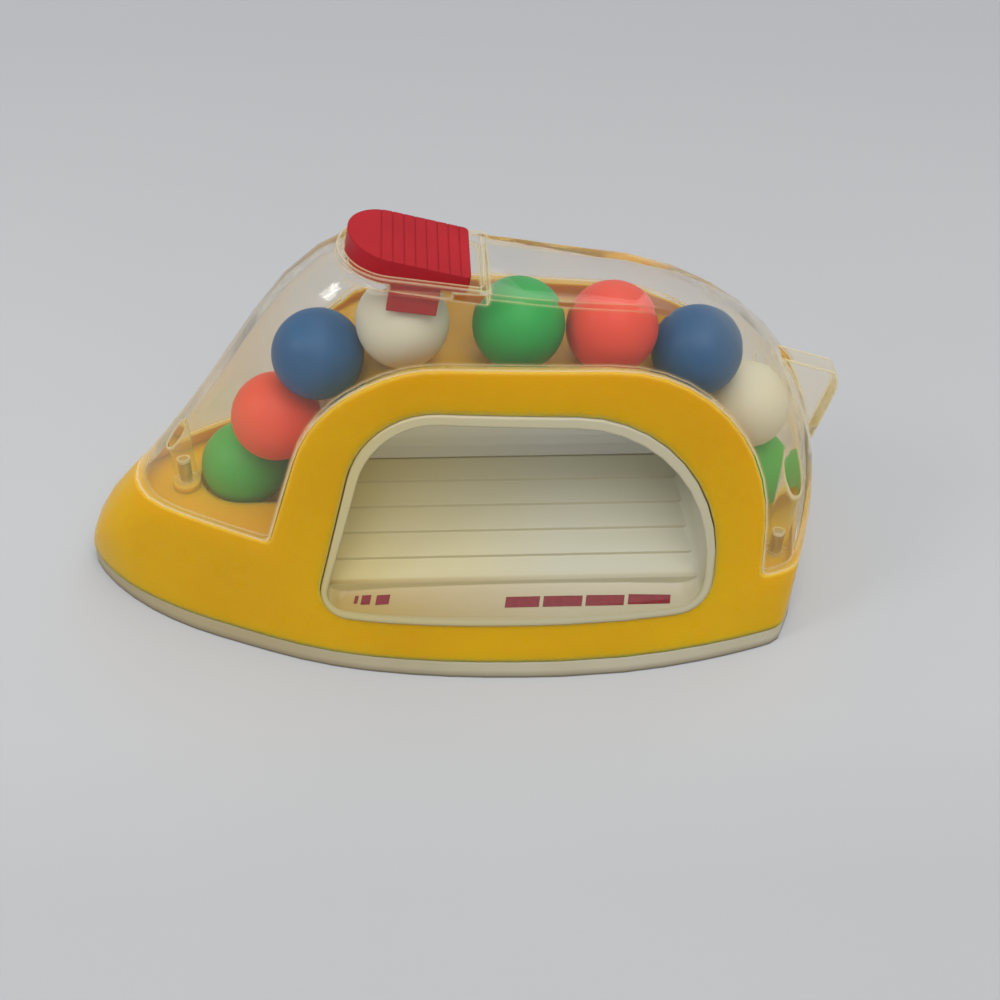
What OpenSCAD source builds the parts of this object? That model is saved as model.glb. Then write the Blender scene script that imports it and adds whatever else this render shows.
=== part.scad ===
// Toy iron: a bulged body on a pale sole, a tunnel through it as its handle,
// and a clear hood with a row of coloured balls that roll over the tunnel.
// X runs from the nose to the heel, Y across, Z up from the sole's face.

/* [Overall form] */
// length over all, from the nose to the tip of the heel fin
overall_length = 189.2; // [182:0.2:200]
// width of the sole at its widest place
sole_width = 93; // [88:0.5:99]
// half the distance between the roof's two long edges
roof_half_width = 12.4; // [12:0.1:14]
// fall of the roof towards the heel, in degrees
roof_slope = 9; // [8:0.25:10]
// half width that the sole would have at the heel without its corners
heel_half_width = 33.5; // [31:0.5:36]
// radius of the bowed heel seen from above
heel_radius = 80; // [60:1:110]
// wall of the yellow body and of the clear hood
shell_wall = 2.2; // [2:0.1:2.5]
// height of the sole's rim, where the yellow body starts
sole_rim_height = 4; // [3.6:0.1:4.6]
// thickness of the sole's floor
sole_floor = 2.2; // [1.8:0.1:2.6]

/* [Balls] */
// diameter of each ball
ball_diameter = 22; // [21.4:0.1:22.4]
// play between a ball and its neighbour or the track
ball_play = 0.3; // [0.2:0.05:0.4]
// free way that the whole row has between its two halves
row_gap = 5; // [4:0.1:6]
// how far the lowest front ball lies to the far side of the middle
front_drift = 4.5; // [0:0.5:5]

/* [Ball track] */
// height of the track's highest place above the table
track_top = 64.2; // [62:0.2:66]
// how much lower the rear arc of the track stands than the front one
track_drop = 2.7; // [2:0.1:3.4]
// radius of the track's front arc
front_track_radius = 25.7; // [25:0.1:26.5]
// radius of the track's rear arc
rear_track_radius = 30.2; // [29.6:0.1:31]
// distance between the centres of the two arcs along the iron
arc_spacing = 42.8; // [41:0.2:45]
// height of the two low floors at the ends of the track
deck_height = 15.1; // [14.4:0.1:16]
// thickness of the track and of the low floors
track_wall = 2; // [1.7:0.1:2.2]
// rise of the track's hollow at its sides
track_rise = 7; // [6:0.2:8]
// half width of the track's hollow
track_half_width = 18; // [16:0.5:19]

/* [Handle tunnel] */
// height of the window's lower edge
window_bottom = 14; // [13.4:0.1:15]
// height of the window's upper edge over the track's highest place
window_over_track = 2.2; // [1.6:0.1:2.6]
// width of the white rim round the window
liner_rim = 2.1; // [1.8:0.1:2.6]
// wall of the white tunnel liners
liner_wall = 1.8; // [1.5:0.1:1.9]
// how far the white rim stands proud of the yellow side
liner_proud = 0.6; // [0.4:0.05:0.9]
// height of the tunnel's floor in the middle of the iron
saddle_height = 31.7; // [29:0.2:34]
// number of treads moulded in each half of the tunnel's floor
tread_count = 5; // [3:1:6]
// distance from one tread to the next
tread_pitch = 6.4; // [5.6:0.1:7]
// height of the step between two treads
tread_rise = 0.8; // [0.5:0.05:1]

/* [Clear hood] */
// height of the seam between hood and body at the nose
nose_seam = 29.4; // [28.6:0.2:31]
// height of the seam between hood and body at the heel
heel_seam = 19.5; // [18.5:0.2:21]
// width of the yellow band over the window
arch_band = 10.5; // [9.8:0.1:11]
// fall of the arch between its front and its rear corner
arch_fall = 5.2; // [4:0.2:6.4]
// gap left along the seam
seam_gap = 0.3; // [0.2:0.05:0.4]
// thickness of the heel fin
fin_thickness = 5.5; // [4:0.1:7]
// how far the fin's tip stands behind the heel
fin_reach = 3.6; // [2.5:0.1:5]
// diameter of the hood's screw bosses
boss_diameter = 5.6; // [5.2:0.1:6.4]

/* [Thumb slide] */
// length of the red thumb slide
slide_length = 28.1; // [26.5:0.1:30]
// width of the red thumb slide
slide_width = 20; // [18.6:0.1:20.2]
// height of the slide's front end over the roof
slide_front_height = 4.2; // [3.6:0.1:5.4]
// height of the slide's rear end over the roof
slide_rear_height = 2.2; // [1.8:0.1:3]
// way that the slide travels to the rear
slide_travel = 2.4; // [2:0.1:2.8]
// depth of the well that the slide runs in
well_depth = 2.4; // [2:0.1:2.8]
// wall and floor of the well
well_wall = 1.6; // [1.4:0.1:1.8]
// clearance round the slide in its well
slide_clearance = 0.35; // [0.25:0.05:0.5]
// number of grip grooves across the slide
groove_count = 8; // [5:1:9]
// distance from one grip groove to the next
groove_pitch = 2.6; // [2.2:0.1:2.8]

/* [Screws] */
// outside diameter of the screws' thread
screw_diameter = 2.9; // [2.6:0.1:3.2]
// diameter of the screws' heads
screw_head_diameter = 5.6; // [5.2:0.1:6]
// thickness of the screws' heads
screw_head_height = 1.8; // [1.5:0.1:2]

/* [Hidden] */

// clearances that several pieces share
overrun = 1;
liner_gap = 0.3;
screw_play = 0.05;
stand_off = 0.3;
running_play = 0.2;

// balls and the path of their centres
ball_radius = ball_diameter / 2;
path_offset = ball_radius + ball_play;
ball_step = ball_diameter + ball_play;
heel_room = 1.2;
nose_x = -overall_length / 2;
heel_x = overall_length / 2 - fin_reach;
rear_path_radius = rear_track_radius + path_offset;
front_path_radius = front_track_radius + path_offset;
rear_centre_x = heel_x - heel_room - shell_wall - ball_radius - rear_path_radius + 2 * running_play;
rear_centre_z = track_top - track_drop - rear_track_radius;
front_centre_x = rear_centre_x - arc_spacing;
front_centre_z = track_top - front_track_radius;
rear_ball_z = deck_height + path_offset;

// the straight stretch of track touches both arcs
arc_distance = norm([arc_spacing, rear_centre_z - front_centre_z]);
straight_angle = asin((rear_track_radius - front_track_radius) / arc_distance)
    + atan2(rear_centre_z - front_centre_z, arc_spacing);
crest_angle = 90 + straight_angle;
straight_fall = tan(straight_angle);

// places of the ball centres in the plane y = 0
rear_step = 2 * asin(ball_step / 2 / rear_path_radius);
front_step = 2 * asin(ball_step / 2 / front_path_radius);
rear_last_angle = asin((rear_ball_z - rear_centre_z) / rear_path_radius);
function on_rear(a) = [rear_centre_x + rear_path_radius * cos(a), rear_centre_z + rear_path_radius * sin(a)];
function on_front(a) = [front_centre_x + front_path_radius * cos(a), front_centre_z + front_path_radius * sin(a)];
rear_green_at = [rear_centre_x + rear_path_radius, rear_ball_z];
rear_white_at = on_rear(rear_last_angle + rear_step);
rear_blue_at = on_rear(rear_last_angle + 2 * rear_step);
middle_coral_at = on_rear(rear_last_angle + 3 * rear_step);
middle_green_at = middle_coral_at - ball_step * [cos(straight_angle), sin(straight_angle)];
white_reach = middle_green_at[0] - ball_step - row_gap - front_centre_x;
front_first_angle = acos(white_reach / front_path_radius);
front_white_at = on_front(front_first_angle);
// each next ball lies on the arc, or on the low floor where the arc would go below it; there it may lie
// off the middle, and then the hollow's side lifts it a little
hollow_room = pow(track_half_width, 2) / (2 * track_rise) - ball_radius;
function next_front(p, drift = 0) = let (low = rear_ball_z + hollow_room - sqrt(pow(hollow_room, 2) - pow(drift, 2)),
        q = on_front(atan2(p[1] - front_centre_z, p[0] - front_centre_x) + front_step),
        reach = sqrt(pow(ball_step, 2) - pow(drift, 2)))
    q[1] > low ? q : [p[0] - sqrt(pow(reach, 2) - pow(min(reach, p[1] - low), 2)), low, drift];
front_blue_at = next_front(front_white_at);
front_coral_at = next_front(front_blue_at);
front_green_at = next_front(front_coral_at, front_drift);

// side view of the iron: x and z as shares of the nose's reach and of the roof's height,
// with the bow across the iron as a share of the sole's width
roof_room = 8.4;
roof_height = track_top + path_offset + ball_radius + roof_room + shell_wall;
crest_x = front_centre_x - roof_half_width;
nose_shares = [[0, 0.012, 0.2], [0.002, 0.045, 0.2], [0.0147, 0.092, 0.2], [0.0456, 0.15, 0.2], [0.0938, 0.2116, 0.2],
    [0.1555, 0.268, 0.2], [0.2265, 0.33, 0.2], [0.305, 0.409, 0.2], [0.381, 0.49, 0.2], [0.461, 0.578, 0.2],
    [0.547, 0.681, 0.2], [0.638, 0.787, 0.2], [0.745, 0.895, 0.2], [0.8525, 0.965, 0.22], [0.94, 0.995, 0.28]];
// places along the roof as shares of its length, with the same bow
roof_shares = [[0, 0.36], [0.15, 0.5], [0.32, 0.62], [0.49, 0.75], [0.66, 0.75], [0.83, 0.65]];
// room outside the rear balls by angle about the rear arc's centre, as a share of the ball's diameter
rear_shares = [[84, 0.11, 0.5], [73, 0.08, 0.42], [62, 0.05, 0.4], [52, 0.04, 0.4], [42, 0.04, 0.42], [33, 0.04, 0.5],
    [24, 0.035, 0.65], [15, 0.03, 0.8], [6, 0.03, 0.86], [-2, 0.045, 0.86]];
rear_reach = rear_path_radius + ball_radius + shell_wall;
function nose_point(s) = [nose_x + s[0] * (crest_x - nose_x), s[1] * roof_height, s[2] * sole_width];
function rear_point(s) = [rear_centre_x + (rear_reach + s[1] * ball_diameter) * cos(s[0]),
    rear_centre_z + (rear_reach + s[1] * ball_diameter) * sin(s[0]), s[2] * sole_width];
heel_shares = [1.1, 0.8, 0.6, 0.46, 0.36, 0.25, 0.12, 0.04];
heel_bow = heel_radius;
side_points = concat([for (s = nose_shares) nose_point(s)],
    [for (s = roof_shares) let (x = crest_x + s[0] * (rear_centre_x - crest_x))
            [x, roof_height - (x - crest_x) * tan(roof_slope), s[1] * sole_width]],
    [for (s = rear_shares) rear_point(s)],
    [for (s = heel_shares) [heel_x, s * heel_seam, heel_bow]]);
side_count = len(side_points);

// smooth curve through the side view's points
function smooth(a, b, c, d, t) = b + (c - a) * t / 2 + (2 * a - 5 * b + 4 * c - d) * t * t / 2
    + (3 * b - a - 3 * c + d) * t * t * t / 2;
function side_at(i) = side_points[max(0, min(side_count - 1, i))];
splits = 1;
outline = concat([for (i = [0:side_count - 2], k = [0:splits - 1])
        smooth(side_at(i - 1), side_at(i), side_at(i + 1), side_at(i + 2), k / splits)], [side_points[side_count - 1]]);
stations = len(outline);
function unit(v) = v / norm(v);
function outline_normal(i) = let (a = outline[max(0, i - 1)], b = outline[min(stations - 1, i + 1)],
        d = unit([b[0] - a[0], b[1] - a[1]])) [-d[1], d[0]];

// sole outline seen from above
widest_share = 0.641;
nose_fullness = 2.34;
nose_sharpness = 1.49;
corner_sharpness = 9;
widest_x = nose_x + widest_share * (heel_x - nose_x);
function nose_width(x) = let (t = min(1, max(0, (widest_x - x) / (widest_x - nose_x))))
    sole_width / 2 * pow(1 - pow(t, nose_fullness), 1 / nose_sharpness);
function heel_width(x) = let (s = max(0, (x - widest_x) / (heel_x - widest_x)))
    sole_width / 2 - (sole_width / 2 - heel_half_width) * s * s;
function sole_half(x) = x < widest_x ? nose_width(x) : heel_width(x);

// height that the leaning side would reach over each place along the iron
roof_over = [for (i = [0:stations - 1]) if (outline[i][0] < heel_x - rear_path_radius) [outline[i][0], outline[i][1]]];
lean_share = 0.77;
function lean_height(x) = let (h = lookup(x, roof_over)) x < crest_x ? h
    : max(lean_share * roof_height, roof_height - (x - crest_x) * tan(roof_slope));
top_share = 0.75;
function side_half(x, z) = let (b = sole_half(x), t = min(roof_half_width, top_share * b), k = z / lean_height(x))
    b + (t - b) * k;
function soft_min(a, b, p) = (a <= 0 || b <= 0) ? 0 : 1 / pow(pow(1 / a, p) + pow(1 / b, p), 1 / p);

// one ring of the outer form: from the foot of one side over the ridge to the foot of the other,
// drawn inwards by the given inset
layers = 8;
tilt_share = 0.3;
least_half = 0.05;
shoulder_share = 0.55;
foot_share = 0.8;
function ring_top(i, inset) = let (n = outline_normal(i)) [outline[i][0] - n[0] * inset, outline[i][1] - n[1] * inset];
function ring_foot(i, inset) = let (p = ring_top(i, inset))
    [max(nose_x + inset, min(p[0], heel_x - inset - tilt_share * max(0, p[1]))), 0];
function ring_half(i, inset, f) = let (p = ring_top(i, inset), s = ring_foot(i, inset), q = s + (p - s) * f,
        n = outline_normal(i), depth = max(0, (p - q) * n))
    max(least_half, soft_min(side_half(q[0], q[1]) - inset * 1.06, sqrt(2 * outline[i][2] * depth),
        corner_sharpness * (shoulder_share + foot_share * pow(1 - f, 3))));
function ring(i, inset) = let (p = ring_top(i, inset), s = ring_foot(i, inset))
    [for (j = [layers:-1:-layers]) let (g = 1 - abs(j) / layers, f = 1 - pow(1 - g, 2), q = s + (p - s) * f)
        [q[0], j == 0 ? 0 : sign(j) * ring_half(i, inset, f), q[1]]];

// skin through a list of rings that all have the same number of points
function middle(ring) = (ring[0] + ring[floor(len(ring) / 2)]) / 2;
module skin(rings, fan = false) {
    rows = len(rings);
    cols = len(rings[0]);
    points = concat([for (r = rings, p = r) p], fan ? [middle(rings[0]), middle(rings[rows - 1])] : []);
    walls = [for (i = [0:rows - 2], j = [0:cols - 1]) let (k = (j + 1) % cols)
            each [[i * cols + j, (i + 1) * cols + j, (i + 1) * cols + k], [i * cols + j, (i + 1) * cols + k, i * cols + k]]];
    last = (rows - 1) * cols;
    front = fan ? [for (j = [0:cols - 1]) [j, (j + 1) % cols, rows * cols]] : [[for (j = [0:cols - 1]) j]];
    back = fan ? [for (j = [0:cols - 1]) [last + (j + 1) % cols, last + j, rows * cols + 1]]
        : [[for (j = [cols - 1:-1:0]) last + j]];
    polyhedron(points, concat(walls, front, back), convexity = 10);
}

// the outer form of the whole iron, or the same form drawn in by its wall
module iron_form(inset) {
    skin([for (i = [0:stations - 1]) ring(i, inset)]);
}

// corner of an outline, rounded with the given radius
corner_steps = 10;
function round_corner(a, b, c, r, n) = let (u = unit(a - b), v = unit(c - b), half = acos(u * v) / 2,
        m = b + unit(u + v) * r / sin(half), p = b + u * r / tan(half), q = b + v * r / tan(half),
        from = atan2(p[1] - m[1], p[0] - m[0]), turn = atan2(q[1] - m[1], q[0] - m[0]) - from,
        way = turn > 180 ? turn - 360 : turn < -180 ? turn + 360 : turn)
    [for (k = [0:n]) m + r * [cos(from + way * k / n), sin(from + way * k / n)]];
function rounded(corners) = let (n = len(corners)) [for (i = [0:n - 1])
        let (a = corners[(i + n - 1) % n], b = corners[i], c = corners[(i + 1) % n])
        each round_corner([a[0], a[1]], [b[0], b[1]], [c[0], c[1]], b[2], corner_steps)];

// outline in the side view, drawn across the whole iron
module across(points) {
    rotate([90, 0, 0])
        linear_extrude(height = 2 * sole_width, center = true)
            polygon(points);
}

// seam between hood and body: level at nose and heel, an arch over the window
arch_top = track_top + window_over_track + arch_band;
arch_front_x = front_centre_x - front_track_radius - path_offset - running_play * 4;
arch_rear_x = rear_centre_x + rear_path_radius - running_play * 6;
arch_lean_share = 0.32;
far_out = overall_length;
foot_radius = 2;
front_arch_radius = 35;
rear_arch_radius = 41;
arch_front_top_x = arch_front_x + arch_lean_share * (arch_top - nose_seam);
arch_slope_share = arch_fall / (arch_rear_x - arch_front_top_x);
function seam_line(gap) = rounded([[-far_out, nose_seam - gap, foot_radius], [arch_front_x + gap, nose_seam - gap, foot_radius],
    [arch_front_top_x + gap, arch_top - gap, front_arch_radius],
    [arch_rear_x - gap, arch_top - arch_fall - gap, rear_arch_radius], [arch_rear_x - gap, heel_seam - gap, foot_radius],
    [far_out, heel_seam - gap, foot_radius], [far_out, -far_out, foot_radius], [-far_out, -far_out, foot_radius]]);

// window in the yellow side, and the tunnel that narrows towards the middle of the iron
window_top = track_top + window_over_track;
window_left_x = front_centre_x - front_track_radius - 8 * running_play;
window_right_x = rear_centre_x + rear_track_radius + 4.5 * running_play;
window_radius = [6, 21, 37, 8];
window_lean_share = 0.261;
window_tuck_share = 0.085;
window_corners = [[window_left_x, window_bottom],
    [window_left_x + window_lean_share * (window_top - window_bottom), window_top],
    [window_right_x, window_top - arch_slope_share * (window_right_x - window_left_x)],
    [window_right_x - window_tuck_share * (window_top - window_bottom), window_bottom]];
waist_radius = [5, 19, 17, 5];
waist_front_x = front_centre_x - front_track_radius + track_wall + liner_gap + liner_wall + 18 * running_play;
waist_rear_x = rear_centre_x + rear_track_radius - track_wall - liner_gap - liner_wall - 9 * running_play;
waist_front_z = track_top - track_wall - liner_gap - liner_wall - running_play * 3;
waist_rear_z = waist_front_z - track_drop - 7 * running_play;
waist_corners = [[waist_front_x, saddle_height], [waist_front_x, waist_front_z],
    [waist_rear_x, waist_rear_z], [waist_rear_x - 10 * running_play, saddle_height]];
// outline of the window or waist, drawn in or out evenly
centre_of = [(window_left_x + window_right_x) / 2, (window_bottom + window_top) / 2];
function grown(corners, radii, d) = let (side = [[-1, -1], [-1, 1], [1, 1], [1, -1]])
    rounded([for (i = [0:3]) [corners[i][0] + side[i][0] * d, corners[i][1] + side[i][1] * d, radii[i] + d]]);
edge_steps = 6;
function filled(p) = let (n = len(p), m = corner_steps + 1) [for (i = [0:n - 1]) let (q = p[(i + 1) % n])
        each [for (k = [0:(i % m == corner_steps ? edge_steps - 1 : 0)]) p[i] + (q - p[i]) * k / edge_steps]];
function window_outline(d) = filled(grown(window_corners, window_radius, d));
function waist_outline(d) = filled(grown(waist_corners, waist_radius, d));

// tunnel from the middle plane to the side, each point of its mouth lying on the leaning side
module tunnel(side, mouth_inset, waist_outset) {
    mouth = window_outline(-mouth_inset);
    waist = waist_outline(waist_outset);
    turned = side < 0;
    rings = [[for (p = waist) [p[0], 0, p[1]]],
        [for (p = mouth) [p[0], side * (side_half(p[0], p[1]) - shell_wall), p[1]]],
        [for (p = mouth) [p[0], side * sole_width, p[1]]]];
    skin(turned ? [rings[2], rings[1], rings[0]] : rings, true);
}

// treads on the sloping floor of one half of the tunnel
module treads(side) {
    floor_reach = side_half(0, window_bottom) - shell_wall;
    slope = (saddle_height - window_bottom - liner_rim) / floor_reach;
    base = saddle_height - liner_wall / 2;
    teeth = [for (k = [0:tread_count - 1]) each [[k * tread_pitch, base - k * tread_pitch * slope],
            [(k + 1) * tread_pitch, base - (k + 1) * tread_pitch * slope + tread_rise]]];
    points = concat(teeth, [[tread_count * tread_pitch, base - tread_count * tread_pitch * slope],
        [tread_count * tread_pitch, window_bottom], [0, window_bottom]]);
    lifted = [for (p = points) [side * p[0], p[1] + liner_wall / 2 + tread_rise / 3]];
    rotate([90, 0, 90])
        linear_extrude(height = 2 * overall_length, center = true)
            polygon(lifted);
}

// white liner of one half of the tunnel, cut flush with the bulged side
module tunnel_liner(side) {
    intersection() {
        difference() {
            union() {
                difference() {
                    tunnel(side, 0, liner_wall);
                    tunnel(side, liner_rim, 0);
                }
                intersection() {
                    treads(side);
                    tunnel(side, liner_rim * 0.75, liner_wall * 0.25);
                }
            }
            translate([-overall_length, side > 0 ? -sole_width : -liner_gap / 2, -overall_length])
                cube([2 * overall_length, sole_width + liner_gap / 2, 2 * overall_length]);
        }
        iron_form(-liner_proud);
    }
}

// body under the hollowed track: arcs over the tunnel, low floors at nose and heel
arc_steps = 14;
foot_angle = 170;
function track_line(grow, drop) = let (fr = front_track_radius + grow, rr = rear_track_radius + grow, floor_z = deck_height - drop,
        fc = [front_centre_x, front_centre_z], rc = [rear_centre_x, rear_centre_z],
        foot = fc + fr * [cos(foot_angle), sin(foot_angle)])
    concat([[nose_x - overrun - drop, -overrun - drop], [nose_x - overrun - drop, floor_z],
            [foot[0] - (foot[1] - floor_z) * tan(180 - foot_angle), floor_z]],
        [for (k = [0:arc_steps]) let (a = foot_angle + (crest_angle - foot_angle) * k / arc_steps) fc + fr * [cos(a), sin(a)]],
        [for (k = [0:arc_steps]) let (a = crest_angle - crest_angle * k / arc_steps) rc + rr * [cos(a), sin(a)]],
        [[rear_centre_x + rr, floor_z], [heel_x + overrun + drop, floor_z], [heel_x + overrun + drop, -overrun - drop]]);
hollow_steps = 5;
module under_track(drop) {
    half = concat([for (k = [0:hollow_steps]) k / hollow_steps], [(sole_width + drop) / track_half_width]);
    lanes = concat([for (k = [len(half) - 1:-1:1]) -half[k]], half);
    skin([for (s = lanes) let (rise = track_rise * pow(min(1, abs(s)), 2))
            [for (p = track_line(rise - drop, drop)) [p[0], s * track_half_width, p[1]]]]);
}

// places of the screws, seen from above
front_boss_share = 0.285;
front_boss_x = nose_x * (1 - front_boss_share);
rear_boss_x = heel_x - 4 * shell_wall;
rear_boss_y = 19;
front_post_x = front_boss_x + 2 * boss_diameter;
front_post_y = 15;
rear_post_x = rear_boss_x - 0.8 * boss_diameter;
rear_post_y = 28;
boss_places = [[front_boss_x, 0], [rear_boss_x, rear_boss_y], [rear_boss_x, -rear_boss_y]];
post_places = [[front_post_x, front_post_y], [front_post_x, -front_post_y],
    [rear_post_x, rear_post_y], [rear_post_x, -rear_post_y]];
post_diameter = 7;
pedestal_height = 11;
pedestal_top = deck_height + pedestal_height;
head_seat = screw_head_height + stand_off * 2;
sole_boss_top = head_seat + sole_floor;
bite = 6.5;

module body_shell() {
    color([0.80, 0.60, 0.06])
        difference() {
            union() {
                difference() {
                    intersection() {
                        iron_form(0);
                        across(seam_line(seam_gap));
                        translate([-overall_length, -sole_width, sole_rim_height])
                            cube([2 * overall_length, 2 * sole_width, roof_height]);
                    }
                    iron_form(shell_wall);
                }
                intersection() {
                    difference() {
                        under_track(0);
                        under_track(track_wall);
                    }
                    iron_form(shell_wall / 2);
                    translate([-overall_length, -sole_width, sole_rim_height])
                        cube([2 * overall_length, 2 * sole_width, roof_height]);
                }
                for (p = post_places)
                    translate([p[0], p[1], sole_boss_top])
                        cylinder(d = post_diameter, h = deck_height - track_wall / 2 - sole_boss_top, $fn = 32);
                translate([front_boss_x, 0, deck_height - track_wall / 2])
                    cylinder(d = post_diameter, h = pedestal_height + track_wall / 2, $fn = 32);
            }
            for (s = [-1, 1])
                tunnel(s, -liner_gap, liner_wall + liner_gap);
            for (p = post_places)
                translate([p[0], p[1], 0])
                    cylinder(d = screw_diameter + 2 * screw_play, h = deck_height - track_wall / 2, $fn = 32);
            for (p = boss_places)
                translate([p[0], p[1], 0])
                    cylinder(d = screw_diameter + 2 * screw_play, h = pedestal_top + overrun, $fn = 32);
        }
}

// section through the outer form at a low height, drawn in by the given inset
low_stations = [for (i = [1:stations - 1]) if (outline[i][1] > 1.4 * sole_rim_height) i];
function plan_main(z, inset) = [for (i = low_stations) let (p = ring_top(i, inset), q = ring_foot(i, inset), f = z / p[1])
        [q[0] + (p[0] - q[0]) * f, ring_half(i, inset, f)]];
heel_tail_shares = [0.66, 0.4, 0.2, 0.06];
function plan_side(z, inset) = let (main = plan_main(z, inset), tail = heel_x - inset - main[len(main) - 1][0])
    concat(main, [for (s = heel_tail_shares) [heel_x - inset - s * tail, sqrt(2 * heel_bow * s * tail)]]);
function plan(z, inset) = let (half = plan_side(z, inset), n = len(half))
    concat([[nose_x + inset + z * z / (6 * sole_rim_height), 0, z]], [for (k = [0:n - 1]) [half[k][0], half[k][1], z]],
        [[heel_x - inset, 0, z]], [for (k = [n - 1:-1:0]) [half[k][0], -half[k][1], z]]);

module sole_plate() {
    color([0.80, 0.79, 0.75])
        difference() {
            union() {
                difference() {
                    skin([plan(sole_rim_height, 0), plan(0, 0)]);
                    skin([plan(sole_rim_height + overrun, shell_wall), plan(sole_floor, shell_wall)]);
                }
                for (p = post_places)
                    translate([p[0], p[1], sole_floor / 2])
                        cylinder(d = post_diameter + shell_wall, h = sole_boss_top - stand_off - sole_floor / 2, $fn = 32);
            }
            for (p = post_places) {
                translate([p[0], p[1], -overrun])
                    cylinder(d = screw_head_diameter + 2 * stand_off, h = head_seat + overrun, $fn = 32);
                translate([p[0], p[1], 0])
                    cylinder(d = screw_diameter + 2 * stand_off, h = sole_boss_top + overrun, $fn = 32);
            }
        }
}

// a screw with a domed head and a cross slot, standing head down
slot_share = 0.22;
module screw(shank) {
    difference() {
        union() {
            cylinder(d = screw_head_diameter, h = screw_head_height, $fn = 32);
            cylinder(d = screw_diameter, h = screw_head_height + shank, $fn = 32);
        }
        for (a = [0, 90])
            rotate(a)
                translate([-screw_head_diameter / 3, -slot_share * screw_head_diameter / 4, -overrun])
                    cube([screw_head_diameter / 1.5, slot_share * screw_head_diameter / 2, overrun + screw_head_height / 2]);
    }
}

module sole_screws() {
    color([0.62, 0.62, 0.63])
        for (p = post_places)
            translate([p[0], p[1], head_seat - screw_head_height])
                screw(sole_floor + bite - stand_off);
}

module hood_screws() {
    color([0.62, 0.62, 0.63])
        for (p = boss_places)
            translate([p[0], p[1], deck_height - track_wall - screw_head_height])
                screw(track_wall + bite + (p[1] == 0 ? pedestal_height : 0));
}

// frame of the thumb slide: on the roof, turned to its slope
slide_middle_x = front_centre_x - 2.95;
crown_drop = 0.8;
slide_middle_z = roof_height - crown_drop - (slide_middle_x - crest_x) * tan(roof_slope);
module on_roof() {
    translate([slide_middle_x, 0, slide_middle_z])
        rotate([0, roof_slope, 0])
            children();
}

// plan of the slide, round in front and straight behind; the well has room behind it
slide_corner = 1.2;
module slide_plan(d, back) {
    r = slide_width / 2 + d;
    front = -slide_length / 2 + slide_width / 2;
    rear = slide_length / 2 + back;
    union() {
        translate([front, 0])
            circle(r = r, $fn = 48);
        translate([front, -r])
            square([rear - front - slide_corner, 2 * r]);
        translate([front, -r + slide_corner])
            square([rear - front, 2 * (r - slide_corner)]);
        for (s = [-1, 1])
            translate([rear - slide_corner, s * (r - slide_corner)])
                circle(r = slide_corner, $fn = 24);
    }
}

leg_length = 11.4;
leg_drop = 4.6;
leg_thickness = 1.4;
hook_reach = 0.8;
leg_front = -3.5;
leg_y = slide_width / 2 - leg_thickness - hook_reach;
hook_top = well_depth + well_wall + running_play;
groove_share = 0.05;
groove_depth = 0.14;
module thumb_slide() {
    bottom = well_depth - running_play;
    color([0.70, 0.13, 0.18])
        on_roof() {
            difference() {
                translate([0, 0, -bottom])
                    linear_extrude(height = bottom + slide_front_height + overrun)
                        slide_plan(0, 0);
                translate([0, 0, (slide_front_height + slide_rear_height) / 2])
                    rotate([0, atan2(slide_front_height - slide_rear_height, slide_length - slide_width / 2), 0]) {
                        translate([-slide_length, -slide_width, 0])
                            cube([2 * slide_length, 2 * slide_width, 2 * slide_front_height]);
                        for (k = [0:groove_count - 1])
                            translate([(k - (groove_count - 3) / 2) * groove_pitch, -slide_width, -groove_depth])
                                cube([groove_share * groove_pitch * 2, 2 * slide_width, 2 * groove_depth]);
                    }
            }
            for (s = [-1, 1])
                translate([leg_front, s * (leg_y + leg_thickness / 2) - leg_thickness / 2, -hook_top - leg_thickness])
                    union() {
                        translate([0, 0, -leg_drop])
                            cube([leg_length, leg_thickness, hook_top + leg_thickness + leg_drop]);
                        translate([0, s > 0 ? 0 : -hook_reach, 0])
                            cube([leg_length, leg_thickness + hook_reach, leg_thickness]);
                    }
        }
}

// heel fin in the side view: it starts on the roof and ends on the rear wall
fin_top_share = 0.672;
fin_high_share = 0.616;
fin_tip_share = 0.57;
fin_low_share = 0.37;
fin_radius = 2.5;
function fin_line() = rounded([[heel_x - 6 * shell_wall, fin_top_share * roof_height, fin_radius / 5],
    [heel_x + fin_reach - shell_wall / 4, fin_high_share * roof_height, fin_radius],
    [heel_x + fin_reach + fin_radius / 8, fin_tip_share * roof_height, fin_radius],
    [heel_x - shell_wall / 4, fin_low_share * roof_height, fin_radius / 5],
    [heel_x - 6 * shell_wall, fin_low_share * roof_height, fin_radius / 5]]);

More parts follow.
